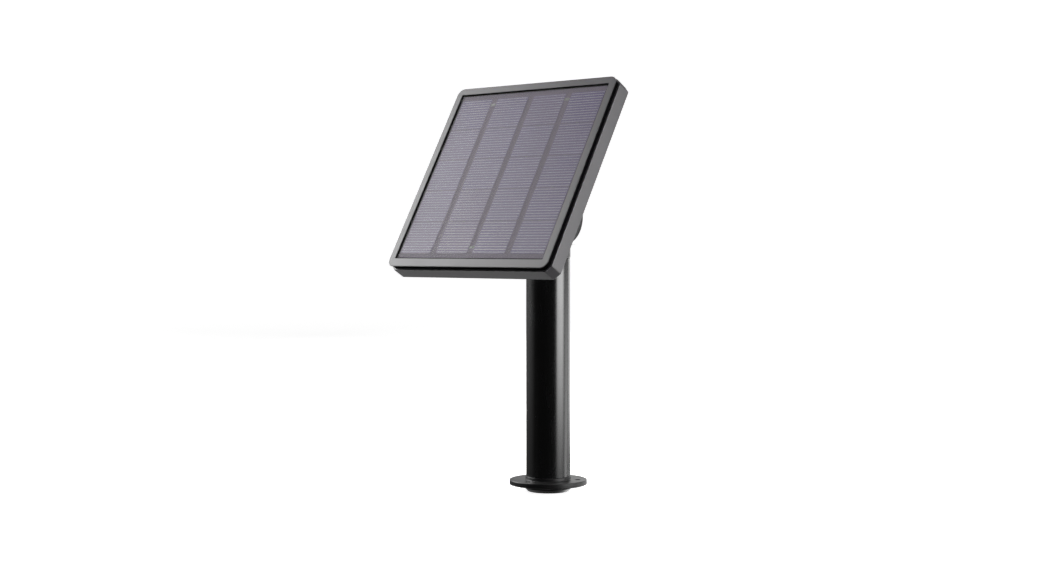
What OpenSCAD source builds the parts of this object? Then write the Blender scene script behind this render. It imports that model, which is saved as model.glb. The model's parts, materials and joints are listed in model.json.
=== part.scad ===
// Square solar panel for a security camera, on a post with a three-hole foot.
// A head on top of the post turns, and a hinge in the head tilts the panel.
// Millimetres. +Z is up, the panel faces -Y and the hinge axis lies along X.
// The origin is the centre of the foot plate's underside.

/* [Foot] */
// Diameter of the round foot plate
foot_d = 70; // [66:1:90]
// Thickness of the foot plate
foot_t = 4.5; // [4:0.5:8]
// Diameter of the circle through the foot's screw holes
foot_pcd = 54; // [53:1:56]
// Diameter of each screw hole in the foot
foot_hole_d = 5; // [3:0.5:6]
// Number of screw holes in the foot
foot_holes = 3; // [3:1:6]
// Diameter of the bore that takes a ground spike
spike_bore_d = 16; // [10:1:18]

/* [Post] */
// Outer diameter of the post
post_d = 40; // [38:0.5:42]
// Wall of the post's tube
post_wall = 1.5; // [1:0.1:2]
// Height of the post's top above the foot's underside
post_top = 204; // [150:1:400]

/* [Hinge] */
// Height of the hinge axis above the top of the post
hinge_rise = 37.5; // [37:0.5:45]
// Diameter of the hinge cheeks
cheek_d = 50; // [46:1:50]
// Width over the two hinge cheeks
head_w = 40; // [38:1:44]
// Width of the bracket's knuckle between the cheeks
knuckle_w = 19; // [15:0.5:19]
// Diameter of the clamp knob
knob_d = 46; // [36:1:50]
// Number of finger flutes around the clamp knob
knob_flutes = 12; // [6:1:18]

/* [Panel] */
// Width of the panel over its rear shell
panel_w = 188.6; // [187:0.2:200]
// Height of the panel, measured along its slope
panel_h = 190; // [189:0.5:200]
// Thickness of the panel
panel_t = 19.2; // [19:0.1:24]
// Lean of the panel away from upright, in degrees
panel_lean = 30; // [0:1:90]
// Distance from the hinge axis to the panel's front face
panel_reach = 74.7; // [70:0.1:90]
// Corner radius of the front frame
frame_corner = 7; // [4:0.5:9]
// Corner chamfer of the rear shell
shell_chamfer = 5.5; // [3:0.5:7]

/* [Solar cells] */
// Cells across the panel
cell_cols = 4; // [2:1:4]
// Cells up the panel
cell_rows = 5; // [2:1:5]
// Width of the whole field of cells
grid_w = 168.7; // [150:0.1:169]
// Height of the whole field of cells
grid_h = 161; // [150:0.5:168]
// Gap between two columns of cells
col_gap = 6.3; // [1:0.1:8]
// Gap between two rows of cells
row_gap = 0.7; // [0.4:0.1:3]

/* [Hidden] */
$fn = 96;
cut = 0.5;            // overshoot of a cutter past the face that it cuts
slip = 0.08;          // radial clearance of a pin that turns in its bore
seat = 0.05;          // radial clearance of a part that stays in its hole
edge = 0.6;           // small chamfer on turned edges

// Foot
collar_d = post_d + 1;
collar_h = 2.8;
hub_d = post_d - 2 * post_wall - 2 * seat;
hub_h = 24;
hub_bore = 26;
hole_start = 30;
socket_d = 44;
socket_foot_d = 37;
socket_seat = 0.6;
socket_h = 6.2;
socket_groove = 0.8;
socket_shank = 20;
socket_depth = 22;
lock_d = 4;
lock_z = 17;
lock_len = 5;
lock_key = 2;
post_foot = foot_t + collar_h;

// Swivel between post and head
spigot_d = 24;
bush_h = 28;
bush_z = post_top - bush_h;
glide_t = 0.8;
glide_gap = 0.2;
head_z = post_top + glide_t + glide_gap;
keeper_play = 0.4;
spigot_end = bush_z - keeper_play;
keeper_d = 30;
keeper_t = 1.6;
keeper_screw_d = 6;
keeper_screw_len = 16;
keeper_screw_play = 1;
keeper_head = 4;
hex_ratio = 2 / sqrt(3);
hex_m6 = 10 * hex_ratio;
pin_angles = [90, 210, 330];
pin_drop = 8;
pin_z = post_top - pin_drop;
pin_d = 3;
pin_head_d = 5.5;
pin_head_t = 1.4;
pin_len = 5;

// Hinge in the head
hinge_z = post_top + hinge_rise;
knuckle_d = cheek_d - 1;
disc_t = 1;
disc_d = 40;
slot_play = 0.4;
floor_play = 1.5;
slot_w = knuckle_w + 2 * disc_t + slot_play;
slot_floor = hinge_z - cheek_d / 2 - floor_play;
cap_d = 38.6;
cap_t = 2.2;
cap_groove = 1.5;
bolt_d = 6;
bolt_head_t = 4;
bolt_reach = 10.5;
bolt_end = head_w / 2 + bolt_reach;
side_play = 0.2;
pocket_depth = cap_t + bolt_head_t + side_play;
knob_washer_t = 1.2;
knob_washer_d = 18;
knob_x = head_w / 2 + knob_washer_t + side_play;
knob_t = 12;
knob_skin = 2;
flute_r = 3;
insert_af = 12;
insert_len = 8;

// Bracket between hinge and panel
plate_d = 84;
plate_t = 4;
arm_root = 30;
arm_tip = 44;
gusset_t = 4;
gusset_foot = 27;
gusset_rise = 20;
bracket_pcd = 60;
bracket_screw_d = 4;
bracket_head_d = 7.5;
bracket_head_t = 2.4;
bracket_screw_len = 14;
bracket_angles = [45, 135, 225, 315];

// Levels through the panel, measured out from the hinge axis
front_w = panel_reach;
back_w = panel_reach - panel_t;
frame_lip = 0.8;
seal_h = 4.8;
rim_w = front_w - frame_lip - seal_h;
recess = 1;
sheet_t = 0.6;
cell_t = 0.2;
board_t = 1.6;
sheet_w = front_w - recess - sheet_t;
cell_w0 = sheet_w - cell_t;
board_w = cell_w0 - board_t;
frame_floor = 2;
floor_w = board_w - frame_floor;

// Outlines in the panel's plane
shell_outset = 0.8;
frame_x = panel_w - 2 * shell_outset;
frame_y = panel_h - 2 * shell_outset;
window_x = 173.5;
window_y = 173.4;
window_rise = 0.5;
bead = 1.2;
lining_t = 0.35;
lining_drop = 0.4;
sheet_x = window_x - 2 * bead;
sheet_y = window_y - 2 * bead;
seal_inset = 0.9;
seal_t = 2;
skirt_t = 3.7;
skirt_drop = 2;
cell_x = (grid_w - (cell_cols - 1) * col_gap) / cell_cols;
cell_y = (grid_h - (cell_rows - 1) * row_gap) / cell_rows;
ribbon_x = 2.4;
ribbon_t = 0.15;
ribbon_inset = 5;

// Rear shell
shell_wall = 2.2;
shell_floor = 2.4;
inner_w = back_w + shell_floor;
ledge_t = 2.2;
rib_h = 3;
rib_t = 2;
rib_x = 34;
rib_y = 45;
screw_inset = 15.5;
screw_x = panel_w / 2 - screw_inset;
screw_y = panel_h / 2 - screw_inset;
screw_points = [for (x = [-screw_x, screw_x], y = [-screw_y, 0, screw_y]) [x, y]];
screw_d = 3;
screw_head_d = 6;
screw_head_t = 2;
screw_boss_d = 9;
screw_boss_h = 2.2;
screw_sink = 2.2;
screw_len = 9;
post_pillar_d = 8;
pillar_gap = 0.2;
screw_cover = 1;
bracket_boss_d = 9;
bracket_boss_h = 8;

// Charge regulator inside the rear shell
reg_at = [-52, -18];
reg_x = 44;
reg_y = 36;
reg_t = 1.6;
reg_lift = 4;
reg_hole_inset = 3.5;
reg_screw_d = 2.5;
reg_w = inner_w + reg_lift;
reg_top = reg_w + reg_t;
reg_corners = [for (x = [-1, 1], y = [-1, 1])
    [x * (reg_x / 2 - reg_hole_inset), y * (reg_y / 2 - reg_hole_inset)]];
lead_hole_d = 9;
lead_hole = [-52, 12];
lead_r = 0.8;
lead_side = 2;
inductor_at = [6, 4];
inductor_x = 10;
inductor_base = 1;
inductor_d = 9;
inductor_h = 3;
capacitor_at = [-9, -1];
capacitor_y = -9;
capacitor_d = 6.3;
capacitor_h = 4.4;
terminal_at = [9, -11];
terminal_x = 12;
terminal_y = 7;
terminal_h = 4.6;
terminal_pitch = 6;
terminal_screw_d = 3;
terminal_screw_sink = 1.6;

// Cable gland in the rear shell
gland_at = [-52, -62];
gland_thread_d = 12;
gland_hex = 17 * hex_ratio;
gland_nut_hex = 15 * hex_ratio;
gland_hex_t = 4;
gland_neck_d = 13;
gland_neck_h = 5.5;
gland_way_d = 7;
gland_seal_d = 12;
gland_seal_h = 6;
gland_cable_d = 5;
membrane_t = 0.8;
gland_cap_d = 18;
gland_mouth_t = 1.5;
gland_mouth_d = 6.4;
gland_nut_t = 3;
gland_inside = 5;
gland_neck_w = back_w - gland_hex_t - gland_neck_h;
gland_seal_w = gland_neck_w - gland_seal_h;
gland_cap_w = gland_seal_w - gland_mouth_t;
gland_cone_t = 2 * gland_mouth_t;
gland_sleeve_h = back_w - gland_hex_t - gland_cap_w - gland_cone_t - edge;

CELLS = [for (r = [1:cell_rows], c = [1:cell_cols]) str("solar_cell_r", r, "_c", c)];

// ---- shared shapes ----

// Children drawn in the panel's own frame: X across, Y up its slope, Z out of its face
module on_panel() {
    translate([0, 0, hinge_z]) rotate([90 - panel_lean, 0, 0]) children();
}

// Children turned so that their Z axis lies along +X
module along_x() {
    rotate([0, 90, 0]) children();
}

module ring(outer, inner, height) {
    difference() {
        cylinder(d = outer, h = height);
        translate([0, 0, -cut]) cylinder(d = inner, h = height + 2 * cut);
    }
}

module round_rect(x, y, r) {
    square([x - 2 * r, y], center = true);
    square([x, y - 2 * r], center = true);
    for (sx = [-1, 1], sy = [-1, 1])
        translate([sx * (x / 2 - r), sy * (y / 2 - r)]) circle(r);
}

module chamfer_rect(x, y, c) {
    polygon([
        [x / 2 - c, -y / 2], [x / 2, c - y / 2], [x / 2, y / 2 - c], [x / 2 - c, y / 2],
        [c - x / 2, y / 2], [-x / 2, y / 2 - c], [-x / 2, c - y / 2], [c - x / 2, -y / 2]
    ]);
}

// A pan-head screw along +Z: its head ends at z = 0 and its shank rises from there
module pan_screw(head_d, head_t, shank_d, shank_len, key_d) {
    difference() {
        translate([0, 0, -head_t]) cylinder(d1 = head_d - edge, d2 = head_d, h = head_t);
        translate([0, 0, -head_t - cut]) cylinder(d = key_d, h = head_t / 2 + cut, $fn = 6);
    }
    translate([0, 0, -seat]) cylinder(d = shank_d, h = shank_len + seat);
}

// A round wire through a list of points
module wire(points, r) {
    for (i = [1 : len(points) - 1]) {
        step = points[i] - points[i - 1];
        length = norm(step);
        translate(points[i - 1])
            rotate([0, acos(step[2] / length), atan2(step[1], step[0])])
                cylinder(r = r, h = length);
        if (i < len(points) - 1) translate(points[i]) sphere(r);
    }
}

// ---- post and foot ----

module foot_plate() {
    color("#1b1b1c") difference() {
        union() {
            rotate_extrude() polygon([
                [0, 0], [foot_d / 2 - edge, 0], [foot_d / 2, edge],
                [foot_d / 2, foot_t - edge], [foot_d / 2 - edge, foot_t], [0, foot_t]
            ]);
            translate([0, 0, foot_t - seat]) cylinder(d = collar_d, h = collar_h + seat);
        }
        translate([0, 0, -cut]) cylinder(d = hub_bore, h = post_foot + 2 * cut);
        translate([0, 0, -cut]) cylinder(d = socket_d + 2 * seat, h = socket_seat + cut);
        for (i = [0 : foot_holes - 1])
            rotate(hole_start + i * 360 / foot_holes) translate([foot_pcd / 2, 0, -cut])
                cylinder(d = foot_hole_d, h = foot_t + 2 * cut);
    }
}

// Sleeve that the tube slides over; the spike socket screws up into it through the foot
module post_hub() {
    color("#242425") difference() {
        translate([0, 0, post_foot]) ring(hub_d, hub_bore, hub_h);
        translate([0, 0, lock_z]) rotate([-90, 0, 0]) cylinder(d = lock_d + 2 * seat, h = hub_d);
    }
}

module spike_socket() {
    color("#202021") difference() {
        rotate_extrude() polygon([
            [0, -socket_h], [socket_foot_d / 2, -socket_h], [socket_d / 2 - edge, -socket_h / 2],
            [socket_d / 2 - edge - socket_groove, -socket_h / 2 + edge],
            [socket_d / 2, -socket_h / 2 + 2 * edge], [socket_d / 2, socket_seat],
            [hub_bore / 2 - seat, socket_seat], [hub_bore / 2 - seat, socket_shank],
            [0, socket_shank]
        ]);
        translate([0, 0, -socket_h - cut])
            cylinder(d = spike_bore_d, h = socket_depth + cut);
    }
}

module post_tube() {
    color("#131314") difference() {
        translate([0, 0, post_foot]) ring(post_d, post_d - 2 * post_wall, post_top - post_foot);
        translate([0, 0, lock_z]) rotate([-90, 0, 0]) cylinder(d = lock_d + 2 * seat, h = post_d);
        for (a = pin_angles)
            rotate(a) translate([0, 0, pin_z]) along_x() cylinder(d = pin_d + 2 * seat, h = post_d);
    }
}

module post_lock_screw() {
    color("#8e8e90") translate([0, post_d / 2, lock_z]) rotate([90, 0, 0]) difference() {
        cylinder(d = lock_d, h = lock_len);
        translate([0, 0, -cut]) cylinder(d = lock_key, h = lock_len / 2 + cut, $fn = 6);
    }
}

module swivel_bush() {
    color("#2b2b2c") difference() {
        translate([0, 0, bush_z]) ring(hub_d, spigot_d + 2 * slip, bush_h);
        for (a = pin_angles)
            rotate(a) translate([0, 0, pin_z]) along_x() translate([0, 0, post_d / 2 - pin_len - seat])
                cylinder(d = pin_d + 2 * seat, h = post_d);
    }
}

module swivel_bush_screws() {
    color("#3a3a3b") for (a = pin_angles)
        rotate(a) translate([post_d / 2, 0, pin_z]) rotate([0, -90, 0])
            pan_screw(pin_head_d, pin_head_t, pin_d, pin_len, pin_d / 2);
}

module swivel_glide_ring() {
    color("#1c1c1d") translate([0, 0, post_top]) ring(post_d - edge, spigot_d + edge, glide_t);
}

// ---- turning head ----

module cheek(side) {
    inner = slot_w / 2;
    translate([side > 0 ? inner : -head_w / 2, 0, hinge_z]) along_x()
        cylinder(d = cheek_d, h = head_w / 2 - inner);
    intersection() {
        translate([0, 0, slot_floor - cut]) cylinder(d = post_d, h = hinge_z - slot_floor);
        translate([side > 0 ? inner : -head_w / 2, -post_d / 2, slot_floor - cut])
            cube([head_w / 2 - inner, post_d, hinge_z - slot_floor]);
    }
}

module head_yoke() {
    color("#161617") difference() {
        union() {
            translate([0, 0, head_z]) cylinder(d = post_d, h = slot_floor - head_z);
            translate([0, 0, spigot_end]) cylinder(d = spigot_d, h = head_z - spigot_end + seat);
            cheek(1);
            cheek(-1);
        }
        translate([-head_w, 0, hinge_z]) along_x() cylinder(d = bolt_d + 2 * seat, h = 2 * head_w);
        translate([head_w / 2 - cap_t, 0, hinge_z]) along_x()
            cylinder(d = cap_d + 2 * cap_groove, h = cap_t + cut);
        translate([head_w / 2 - pocket_depth, 0, hinge_z]) along_x()
            cylinder(d = hex_m6 + 2 * seat, h = pocket_depth, $fn = 6);
        translate([0, 0, spigot_end - cut])
            cylinder(d = keeper_screw_d + 2 * seat, h = keeper_screw_len + cut);
    }
}

module swivel_keeper_washer() {
    color("#9a9a9c") translate([0, 0, spigot_end - keeper_t])
        ring(keeper_d, keeper_screw_d + 2 * seat, keeper_t);
}

module swivel_keeper_screw() {
    base = spigot_end - keeper_t;
    color("#a4a4a6") {
        translate([0, 0, base - keeper_head]) cylinder(d = hex_m6, h = keeper_head, $fn = 6);
        translate([0, 0, base - seat])
            cylinder(d = keeper_screw_d, h = keeper_t + keeper_screw_len - keeper_screw_play);
    }
}

module hinge_bolt() {
    head_x = head_w / 2 - pocket_depth;
    color("#a4a4a6") translate([0, 0, hinge_z]) {
        translate([head_x, 0, 0]) along_x() cylinder(d = hex_m6, h = bolt_head_t, $fn = 6);
        translate([-bolt_end, 0, 0]) along_x() cylinder(d = bolt_d, h = bolt_end + head_x + seat);
    }
}

module hinge_cap() {
    color("#29292a") translate([head_w / 2 - cap_t, 0, hinge_z]) along_x() {
        cylinder(d = cap_d, h = cap_t - edge);
        translate([0, 0, cap_t - edge]) cylinder(d1 = cap_d, d2 = cap_d - 2 * edge, h = edge);
    }
}

module knob_washer() {
    color("#9a9a9c") translate([-head_w / 2 - knob_washer_t, 0, hinge_z]) along_x()
        ring(knob_washer_d, bolt_d + 2 * seat, knob_washer_t);
}

// ---- clamp knob ----

module clamp_knob() {
    color("#1a1a1b") translate([-knob_x, 0, hinge_z]) rotate([0, -90, 0]) difference() {
        union() {
            cylinder(d = knob_d, h = knob_t - knob_skin);
            translate([0, 0, knob_t - knob_skin])
                cylinder(d1 = knob_d, d2 = knob_d - 2 * knob_skin, h = knob_skin);
        }
        for (i = [0 : knob_flutes - 1])
            rotate(i * 360 / knob_flutes) translate([knob_d / 2 + flute_r / 2, 0, -cut])
                cylinder(r = flute_r, h = knob_t + 2 * cut);
        translate([0, 0, -cut])
            cylinder(d = insert_af * hex_ratio + 2 * seat, h = insert_len + cut, $fn = 6);
        cylinder(d = bolt_d + 2, h = knob_t - knob_skin);
    }
}

module knob_insert() {
    color("#b5975a") translate([-knob_x, 0, hinge_z]) rotate([0, -90, 0]) difference() {
        cylinder(d = insert_af * hex_ratio, h = insert_len, $fn = 6);
        translate([0, 0, -cut]) cylinder(d = bolt_d + 2 * slip, h = insert_len + 2 * cut);
    }
}

// ---- bracket ----

module bracket_arm() {
    rotate([90, 0, 90]) translate([0, 0, -knuckle_w / 2]) linear_extrude(knuckle_w) polygon([
        [-arm_root / 2, 0], [-arm_tip / 2, back_w - plate_t + seat],
        [arm_tip / 2, back_w - plate_t + seat], [arm_root / 2, 0]
    ]);
}

module bracket_gusset(side) {
    top = back_w - plate_t + seat;
    translate([0, gusset_t / 2, 0]) rotate([90, 0, 0]) linear_extrude(gusset_t) polygon([
        [side * (knuckle_w / 2 - seat), top - gusset_rise], [side * gusset_foot, top],
        [side * (knuckle_w / 2 - seat), top]
    ]);
}

module panel_bracket() {
    color("#1d1d1e") on_panel() difference() {
        union() {
            translate([-knuckle_w / 2, 0, 0]) along_x() cylinder(d = knuckle_d, h = knuckle_w);
            bracket_arm();
            bracket_gusset(1);
            bracket_gusset(-1);
            translate([0, 0, back_w - plate_t]) cylinder(d = plate_d, h = plate_t);
        }
        translate([-knuckle_w, 0, 0]) along_x() cylinder(d = bolt_d + 2 * slip, h = 2 * knuckle_w);
        for (a = bracket_angles)
            rotate(a) translate([bracket_pcd / 2, 0, back_w - plate_t - cut])
                cylinder(d = bracket_screw_d + 2 * seat, h = plate_t + 2 * cut);
    }
}

module bracket_screws() {
    color("#8e8e90") on_panel() for (a = bracket_angles)
        rotate(a) translate([bracket_pcd / 2, 0, back_w - plate_t])
            pan_screw(bracket_head_d, bracket_head_t, bracket_screw_d,
                bracket_screw_len - bracket_head_t, bracket_screw_d * 0.7);
}

module friction_discs() {
    color("#4a4a4c") on_panel() for (x = [knuckle_w / 2, -knuckle_w / 2 - disc_t])
        translate([x, 0, 0]) along_x() ring(disc_d, bolt_d + 4 * slip, disc_t);
}

// ---- panel housing ----

module shell_tray() {
    difference() {
        translate([0, 0, back_w]) linear_extrude(rim_w - back_w)
            chamfer_rect(panel_w, panel_h, shell_chamfer);
        translate([0, 0, inner_w]) linear_extrude(rim_w - back_w)
            chamfer_rect(panel_w - 2 * shell_wall, panel_h - 2 * shell_wall, shell_chamfer);
    }
}

// Inward ledge under the perimeter seal
module shell_ledge() {
    inset = shell_outset + seal_inset + seal_t;
    translate([0, 0, rim_w - ledge_t]) linear_extrude(ledge_t) difference() {
        chamfer_rect(panel_w - shell_wall, panel_h - shell_wall, shell_chamfer);
        round_rect(panel_w - 2 * inset, panel_h - 2 * inset, frame_corner - seal_inset - seal_t);
    }
}

module shell_ribs() {
    translate([0, 0, inner_w - seat]) for (s = [-1, 1]) {
        translate([0, s * rib_y, rib_h / 2])
            cube([panel_w - shell_wall, rib_t, rib_h], center = true);
        translate([s * rib_x, 0, rib_h / 2])
            cube([rib_t, panel_h - shell_wall, rib_h], center = true);
    }
}

module rear_shell() {
    color("#8a8886") on_panel() difference() {
        union() {
            shell_tray();
            shell_ledge();
            shell_ribs();
            for (p = screw_points) translate([p[0], p[1], inner_w - seat])
                cylinder(d = screw_boss_d, h = screw_boss_h + seat);
            for (a = bracket_angles) rotate(a) translate([bracket_pcd / 2, 0, inner_w - seat])
                cylinder(d = bracket_boss_d, h = bracket_boss_h + seat);
            for (p = reg_corners) translate([reg_at[0] + p[0], reg_at[1] + p[1], inner_w - seat])
                cylinder(d = 2 * reg_screw_d, h = reg_lift + seat);
        }
        for (p = screw_points) translate([p[0], p[1], back_w - cut]) {
            cylinder(d = screw_d + 4 * seat, h = shell_floor + screw_boss_h + 2 * cut);
            cylinder(d = screw_head_d + edge, h = screw_sink + cut);
        }
        for (a = bracket_angles) rotate(a) translate([bracket_pcd / 2, 0, back_w - cut])
            cylinder(d = bracket_screw_d + 2 * seat, h = bracket_screw_len);
        for (p = reg_corners) translate([reg_at[0] + p[0], reg_at[1] + p[1], inner_w])
            cylinder(d = reg_screw_d + 2 * seat, h = reg_lift + cut);
        translate([gland_at[0], gland_at[1], back_w - cut])
            cylinder(d = gland_thread_d + 2 * seat, h = shell_floor + rib_h + 2 * cut);
    }
}

module shell_screws() {
    color("#6f6f71") on_panel() for (p = screw_points)
        translate([p[0], p[1], back_w + screw_sink])
            pan_screw(screw_head_d, screw_head_t, screw_d, screw_len, screw_d * 0.7);
}

module perimeter_seal() {
    inset = seal_inset + seat;
    color("#08080a") on_panel() translate([0, 0, rim_w]) linear_extrude(seal_h) difference() {
        round_rect(frame_x - 2 * inset, frame_y - 2 * inset, frame_corner - inset);
        round_rect(frame_x - 2 * (inset + seal_t), frame_y - 2 * (inset + seal_t),
            frame_corner - inset - seal_t);
    }
}

module window_cut(from_w, height) {
    translate([0, window_rise, from_w]) linear_extrude(height) round_rect(window_x, window_y, edge);
}

module front_frame() {
    skirt_inset = seal_inset + seal_t + 2 * seat;
    color("#8c8a88") on_panel() difference() {
        union() {
            translate([0, 0, front_w - frame_lip]) linear_extrude(frame_lip)
                round_rect(frame_x, frame_y, frame_corner);
            translate([0, 0, floor_w]) linear_extrude(front_w - frame_lip - floor_w + seat)
                round_rect(frame_x - 2 * skirt_inset, frame_y - 2 * skirt_inset,
                    frame_corner - skirt_inset);
            frame_skirt(skirt_inset);
            for (p = screw_points) translate([p[0], p[1], inner_w + screw_boss_h + pillar_gap])
                cylinder(d = post_pillar_d, h = floor_w - inner_w - screw_boss_h);
        }
        window_cut(board_w, front_w);
        for (p = screw_points) translate([p[0], p[1], inner_w])
            cylinder(d = screw_d + 2 * seat, h = floor_w - inner_w - screw_cover);
        translate([lead_hole[0], lead_hole[1], floor_w - cut])
            cylinder(d = lead_hole_d, h = frame_floor + 2 * cut);
    }
}

// Skirt of the front frame that locates it inside the rear shell's ledge
module frame_skirt(inset) {
    translate([0, 0, floor_w - skirt_drop]) linear_extrude(skirt_drop + seat) difference() {
        round_rect(frame_x - 2 * inset - edge, frame_y - 2 * inset - edge, frame_corner - inset);
        round_rect(frame_x - 2 * (inset + skirt_t), frame_y - 2 * (inset + skirt_t), edge);
    }
}

// Sealant around the cover sheet, which also lines the window's wall
module laminate_bead() {
    color("#0b0b0c") on_panel() translate([0, window_rise, board_w]) difference() {
        linear_extrude(front_w - lining_drop - board_w)
            round_rect(window_x - 2 * seat, window_y - 2 * seat, edge);
        translate([0, 0, -cut]) linear_extrude(front_w)
            square([sheet_x + 2 * seat, sheet_y + 2 * seat], center = true);
        translate([0, 0, front_w - recess - board_w - edge / 2]) linear_extrude(front_w)
            square([window_x - 2 * lining_t, window_y - 2 * lining_t], center = true);
    }
}

module cover_sheet() {
    color([0.55, 0.55, 0.6, 0.35]) on_panel() translate([0, window_rise, sheet_w])
        linear_extrude(sheet_t) square([sheet_x, sheet_y], center = true);
}

function cell_place(row, col) = [
    (col - (cell_cols + 1) / 2) * (cell_x + col_gap),
    ((cell_rows + 1) / 2 - row) * (cell_y + row_gap) + window_rise
];

module solar_cell(row, col) {
    color("#6d6c80") on_panel()
        translate([cell_place(row, col)[0], cell_place(row, col)[1], cell_w0])
            linear_extrude(cell_t) square([cell_x, cell_y], center = true);
}

// The ribbons under the cells, or with a margin the grooves that they lie in
module ribbon_runs(margin) {
    run_y = grid_h - 2 * ribbon_inset;
    for (c = [1 : cell_cols])
        translate([cell_place(1, c)[0], window_rise])
            square([ribbon_x + margin, run_y + margin], center = true);
    for (c = [1 : cell_cols - 1])
        translate([(cell_place(1, c)[0] + cell_place(1, c + 1)[0]) / 2,
            window_rise + (c % 2 == 0 ? -1 : 1) * (run_y - ribbon_x) / 2])
            square([cell_x + col_gap, ribbon_x + margin], center = true);
}

module cell_board() {
    color("#777778") on_panel() difference() {
        translate([0, window_rise, board_w]) linear_extrude(board_t)
            square([sheet_x, sheet_y], center = true);
        translate([0, 0, cell_w0 - ribbon_t - seat]) linear_extrude(cut) ribbon_runs(4 * seat);
    }
}

module tabbing_ribbons() {
    color("#b9bcc2") on_panel() translate([0, 0, cell_w0 - ribbon_t - seat])
        linear_extrude(ribbon_t) ribbon_runs(0);
}

// ---- charge regulator ----

module on_regulator(level) {
    on_panel() translate([reg_at[0], reg_at[1], level]) children();
}

module regulator_board() {
    color("#1f6b3a") on_regulator(reg_w) difference() {
        linear_extrude(reg_t) square([reg_x, reg_y], center = true);
        for (p = reg_corners) translate([p[0], p[1], -cut])
            cylinder(d = reg_screw_d + 2 * seat, h = reg_t + 2 * cut);
    }
}

module regulator_inductor() {
    color("#2a2a2c") on_regulator(reg_top) translate([inductor_at[0], inductor_at[1], 0]) {
        linear_extrude(inductor_base) square([inductor_x, inductor_x], center = true);
        translate([0, 0, inductor_base - seat]) cylinder(d = inductor_d, h = inductor_h + seat);
    }
}

module regulator_capacitors() {
    color("#c2c4c8") on_regulator(reg_top) for (x = capacitor_at)
        translate([x, capacitor_y, 0]) cylinder(d = capacitor_d, h = capacitor_h);
}

module regulator_terminal() {
    color("#2f7d4a") on_regulator(reg_top) translate([terminal_at[0], terminal_at[1], 0])
        difference() {
            linear_extrude(terminal_h) square([terminal_x, terminal_y], center = true);
            for (s = [-1, 1]) translate([s * terminal_pitch / 2, 0, terminal_h - terminal_screw_sink])
                cylinder(d = terminal_screw_d, h = terminal_screw_sink + cut);
        }
}

module regulator_screws() {
    color("#a4a4a6") on_regulator(reg_top) for (p = reg_corners)
        translate([p[0], p[1], 0]) rotate([180, 0, 0])
            pan_screw(2 * reg_screw_d, reg_screw_d / 2, reg_screw_d, reg_lift + reg_t - edge,
                reg_screw_d / 2);
}

// A lead from the cell board's solder pad down to the regulator's pad
module panel_lead(offset) {
    drop = [reg_at[0] + offset, reg_at[1] + reg_y / 2 - 2, reg_top];
    rise = [lead_hole[0] + offset, lead_hole[1], board_w];
    middle = (reg_top + floor_w) / 2;
    on_panel() wire([rise, [rise[0], rise[1], middle], [drop[0], drop[1], middle], drop], lead_r);
}

module lead_positive() {
    color("#b3261e") panel_lead(-lead_side);
}

module lead_negative() {
    color("#161617") panel_lead(lead_side);
}

// ---- cable gland ----

module on_gland(level) {
    on_panel() translate([gland_at[0], gland_at[1], level]) children();
}

module gland_body() {
    color("#1a1a1b") on_gland(0) difference() {
        union() {
            translate([0, 0, back_w - gland_hex_t])
                cylinder(d = gland_hex, h = gland_hex_t, $fn = 6);
            translate([0, 0, gland_neck_w]) cylinder(d = gland_neck_d, h = gland_neck_h + seat);
            translate([0, 0, back_w - seat])
                cylinder(d = gland_thread_d, h = shell_floor + gland_inside + seat);
        }
        translate([0, 0, gland_neck_w - cut]) cylinder(d = gland_way_d, h = panel_t + gland_hex_t);
    }
}

// Rubber seal with a thin membrane at its inner end, which a cable pierces
module gland_seal() {
    color("#3b3b3d") {
        on_gland(gland_seal_w) ring(gland_seal_d, gland_cable_d, gland_seal_h);
        on_gland(gland_neck_w - seat) cylinder(d = gland_way_d - 2 * seat, h = membrane_t + seat);
    }
}

module gland_cap() {
    color("#1a1a1b") on_gland(gland_cap_w) difference() {
        cylinder(d1 = gland_cap_d - 4 * edge, d2 = gland_cap_d, h = gland_cone_t);
        translate([0, 0, -cut]) cylinder(d = gland_mouth_d, h = gland_cone_t + 2 * cut);
        translate([0, 0, gland_mouth_t]) cylinder(d = gland_seal_d + 2 * seat, h = gland_seal_h);
    }
    color("#1a1a1b") on_gland(gland_cap_w + gland_cone_t - seat) difference() {
        cylinder(d = gland_cap_d, h = gland_sleeve_h + seat);
        translate([0, 0, -cut]) cylinder(d = gland_seal_d + 2 * seat, h = panel_t);
        translate([0, 0, gland_seal_h - gland_mouth_t])
            cylinder(d = gland_neck_d + 2 * seat, h = panel_t);
    }
}

module gland_locknut() {
    color("#1a1a1b") on_gland(inner_w) difference() {
        cylinder(d = gland_nut_hex, h = gland_nut_t, $fn = 6);
        translate([0, 0, -cut]) cylinder(d = gland_thread_d + 2 * seat, h = gland_nut_t + 2 * cut);
    }
}

foot_plate();
post_hub();
spike_socket();
post_tube();
post_lock_screw();
swivel_bush();
swivel_bush_screws();
swivel_glide_ring();
head_yoke();
swivel_keeper_washer();
swivel_keeper_screw();
hinge_bolt();
hinge_cap();
knob_washer();
clamp_knob();
knob_insert();
panel_bracket();
bracket_screws();
friction_discs();
rear_shell();
shell_screws();
perimeter_seal();
front_frame();
laminate_bead();
cover_sheet();
cell_board();
tabbing_ribbons();
regulator_board();
regulator_inductor();
regulator_capacitors();
regulator_terminal();
regulator_screws();
lead_positive();
lead_negative();
gland_body();
gland_seal();
gland_cap();
gland_locknut();
for (r = [1 : cell_rows], c = [1 : cell_cols])
    solar_cell(r, c);
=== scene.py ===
"""The looks of a square solar panel on its post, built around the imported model."""

import json
import math
import random

import bmesh
import bpy
from mathutils import Matrix, Vector
from mathutils.geometry import tessellate_polygon


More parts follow.
